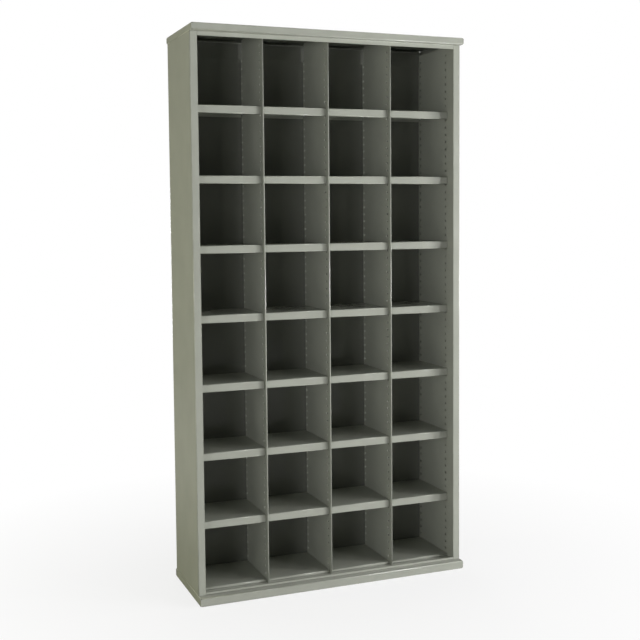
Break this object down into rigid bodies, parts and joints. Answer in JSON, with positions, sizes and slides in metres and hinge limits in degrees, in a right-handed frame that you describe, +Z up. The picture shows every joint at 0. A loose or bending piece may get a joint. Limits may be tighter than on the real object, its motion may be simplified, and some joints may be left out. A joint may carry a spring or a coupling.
{
  "type": "bin cabinet",
  "caption": "Tall open steel bin cabinet: loose lipped shelves on clips between slotted side walls and dividers, with a folded plinth, cap and recessed back.",
  "frame": {"origin": "on the floor, at the centre of the outline", "axes": "+Z up, +X to the right seen from the open front, +Y towards the back; the open front faces -Y"},
  "size_m": [0.94, 0.32, 1.82],
  "materials": {
    "carcass_paint": "smooth semi-gloss paint, light olive grey",
    "shelf_paint": "smooth semi-gloss paint, light olive grey"
  },
  "bodies": {
    "carcass": {"base_plinth": "carcass_paint", "base_front_rail": "carcass_paint", "top_cap": "carcass_paint", "left_side_panel": "carcass_paint", "right_side_panel": "carcass_paint", "left_side_liner": "carcass_paint", "right_side_liner": "carcass_paint", "back_panel": "carcass_paint", "rear_top_rail": "carcass_paint", "divider_1": "carcass_paint", "divider_2": "carcass_paint", "divider_3": "carcass_paint"},
    "shelf_r1_c1": {"shelf_r1_c1": "shelf_paint"},
    "shelf_r1_c2": {"shelf_r1_c2": "shelf_paint"},
    "shelf_r1_c3": {"shelf_r1_c3": "shelf_paint"},
    "shelf_r1_c4": {"shelf_r1_c4": "shelf_paint"},
    "shelf_r2_c1": {"shelf_r2_c1": "shelf_paint"},
    "shelf_r2_c2": {"shelf_r2_c2": "shelf_paint"},
    "shelf_r2_c3": {"shelf_r2_c3": "shelf_paint"},
    "shelf_r2_c4": {"shelf_r2_c4": "shelf_paint"},
    "shelf_r3_c1": {"shelf_r3_c1": "shelf_paint"},
    "shelf_r3_c2": {"shelf_r3_c2": "shelf_paint"},
    "shelf_r3_c3": {"shelf_r3_c3": "shelf_paint"},
    "shelf_r3_c4": {"shelf_r3_c4": "shelf_paint"},
    "shelf_r4_c1": {"shelf_r4_c1": "shelf_paint"},
    "shelf_r4_c2": {"shelf_r4_c2": "shelf_paint"},
    "shelf_r4_c3": {"shelf_r4_c3": "shelf_paint"},
    "shelf_r4_c4": {"shelf_r4_c4": "shelf_paint"},
    "shelf_r5_c1": {"shelf_r5_c1": "shelf_paint"},
    "shelf_r5_c2": {"shelf_r5_c2": "shelf_paint"},
    "shelf_r5_c3": {"shelf_r5_c3": "shelf_paint"},
    "shelf_r5_c4": {"shelf_r5_c4": "shelf_paint"},
    "shelf_r6_c1": {"shelf_r6_c1": "shelf_paint"},
    "shelf_r6_c2": {"shelf_r6_c2": "shelf_paint"},
    "shelf_r6_c3": {"shelf_r6_c3": "shelf_paint"},
    "shelf_r6_c4": {"shelf_r6_c4": "shelf_paint"},
    "shelf_r7_c1": {"shelf_r7_c1": "shelf_paint"},
    "shelf_r7_c2": {"shelf_r7_c2": "shelf_paint"},
    "shelf_r7_c3": {"shelf_r7_c3": "shelf_paint"},
    "shelf_r7_c4": {"shelf_r7_c4": "shelf_paint"},
    "shelf_r8_c1": {"shelf_r8_c1": "shelf_paint"},
    "shelf_r8_c2": {"shelf_r8_c2": "shelf_paint"},
    "shelf_r8_c3": {"shelf_r8_c3": "shelf_paint"},
    "shelf_r8_c4": {"shelf_r8_c4": "shelf_paint"}
  },
  "joints": [
    {"name": "shelf_r1_c1_lift", "type": "slide", "parent": "carcass", "child": "shelf_r1_c1", "axis": [0, 0, 1], "range_m": [0, 0.17]},
    {"name": "shelf_r1_c2_lift", "type": "slide", "parent": "carcass", "child": "shelf_r1_c2", "axis": [0, 0, 1], "range_m": [0, 0.17]},
    {"name": "shelf_r1_c3_lift", "type": "slide", "parent": "carcass", "child": "shelf_r1_c3", "axis": [0, 0, 1], "range_m": [0, 0.17]},
    {"name": "shelf_r1_c4_lift", "type": "slide", "parent": "carcass", "child": "shelf_r1_c4", "axis": [0, 0, 1], "range_m": [0, 0.17]},
    {"name": "shelf_r2_c1_lift", "type": "slide", "parent": "carcass", "child": "shelf_r2_c1", "axis": [0, 0, 1], "range_m": [0, 0.17]},
    {"name": "shelf_r2_c2_lift", "type": "slide", "parent": "carcass", "child": "shelf_r2_c2", "axis": [0, 0, 1], "range_m": [0, 0.17]},
    {"name": "shelf_r2_c3_lift", "type": "slide", "parent": "carcass", "child": "shelf_r2_c3", "axis": [0, 0, 1], "range_m": [0, 0.17]},
    {"name": "shelf_r2_c4_lift", "type": "slide", "parent": "carcass", "child": "shelf_r2_c4", "axis": [0, 0, 1], "range_m": [0, 0.17]},
    {"name": "shelf_r3_c1_lift", "type": "slide", "parent": "carcass", "child": "shelf_r3_c1", "axis": [0, 0, 1], "range_m": [0, 0.17]},
    {"name": "shelf_r3_c2_lift", "type": "slide", "parent": "carcass", "child": "shelf_r3_c2", "axis": [0, 0, 1], "range_m": [0, 0.17]},
    {"name": "shelf_r3_c3_lift", "type": "slide", "parent": "carcass", "child": "shelf_r3_c3", "axis": [0, 0, 1], "range_m": [0, 0.17]},
    {"name": "shelf_r3_c4_lift", "type": "slide", "parent": "carcass", "child": "shelf_r3_c4", "axis": [0, 0, 1], "range_m": [0, 0.17]},
    {"name": "shelf_r4_c1_lift", "type": "slide", "parent": "carcass", "child": "shelf_r4_c1", "axis": [0, 0, 1], "range_m": [0, 0.17]},
    {"name": "shelf_r4_c2_lift", "type": "slide", "parent": "carcass", "child": "shelf_r4_c2", "axis": [0, 0, 1], "range_m": [0, 0.17]},
    {"name": "shelf_r4_c3_lift", "type": "slide", "parent": "carcass", "child": "shelf_r4_c3", "axis": [0, 0, 1], "range_m": [0, 0.17]},
    {"name": "shelf_r4_c4_lift", "type": "slide", "parent": "carcass", "child": "shelf_r4_c4", "axis": [0, 0, 1], "range_m": [0, 0.17]},
    {"name": "shelf_r5_c1_lift", "type": "slide", "parent": "carcass", "child": "shelf_r5_c1", "axis": [0, 0, 1], "range_m": [0, 0.17]},
    {"name": "shelf_r5_c2_lift", "type": "slide", "parent": "carcass", "child": "shelf_r5_c2", "axis": [0, 0, 1], "range_m": [0, 0.17]},
    {"name": "shelf_r5_c3_lift", "type": "slide", "parent": "carcass", "child": "shelf_r5_c3", "axis": [0, 0, 1], "range_m": [0, 0.17]},
    {"name": "shelf_r5_c4_lift", "type": "slide", "parent": "carcass", "child": "shelf_r5_c4", "axis": [0, 0, 1], "range_m": [0, 0.17]},
    {"name": "shelf_r6_c1_lift", "type": "slide", "parent": "carcass", "child": "shelf_r6_c1", "axis": [0, 0, 1], "range_m": [0, 0.17]},
    {"name": "shelf_r6_c2_lift", "type": "slide", "parent": "carcass", "child": "shelf_r6_c2", "axis": [0, 0, 1], "range_m": [0, 0.17]},
    {"name": "shelf_r6_c3_lift", "type": "slide", "parent": "carcass", "child": "shelf_r6_c3", "axis": [0, 0, 1], "range_m": [0, 0.17]},
    {"name": "shelf_r6_c4_lift", "type": "slide", "parent": "carcass", "child": "shelf_r6_c4", "axis": [0, 0, 1], "range_m": [0, 0.17]},
    {"name": "shelf_r7_c1_lift", "type": "slide", "parent": "carcass", "child": "shelf_r7_c1", "axis": [0, 0, 1], "range_m": [0, 0.17]},
    {"name": "shelf_r7_c2_lift", "type": "slide", "parent": "carcass", "child": "shelf_r7_c2", "axis": [0, 0, 1], "range_m": [0, 0.17]},
    {"name": "shelf_r7_c3_lift", "type": "slide", "parent": "carcass", "child": "shelf_r7_c3", "axis": [0, 0, 1], "range_m": [0, 0.17]},
    {"name": "shelf_r7_c4_lift", "type": "slide", "parent": "carcass", "child": "shelf_r7_c4", "axis": [0, 0, 1], "range_m": [0, 0.17]},
    {"name": "shelf_r8_c1_lift", "type": "slide", "parent": "carcass", "child": "shelf_r8_c1", "axis": [0, 0, 1], "range_m": [0, 0.17]},
    {"name": "shelf_r8_c2_lift", "type": "slide", "parent": "carcass", "child": "shelf_r8_c2", "axis": [0, 0, 1], "range_m": [0, 0.17]},
    {"name": "shelf_r8_c3_lift", "type": "slide", "parent": "carcass", "child": "shelf_r8_c3", "axis": [0, 0, 1], "range_m": [0, 0.17]},
    {"name": "shelf_r8_c4_lift", "type": "slide", "parent": "carcass", "child": "shelf_r8_c4", "axis": [0, 0, 1], "range_m": [0, 0.17]}
  ]
}
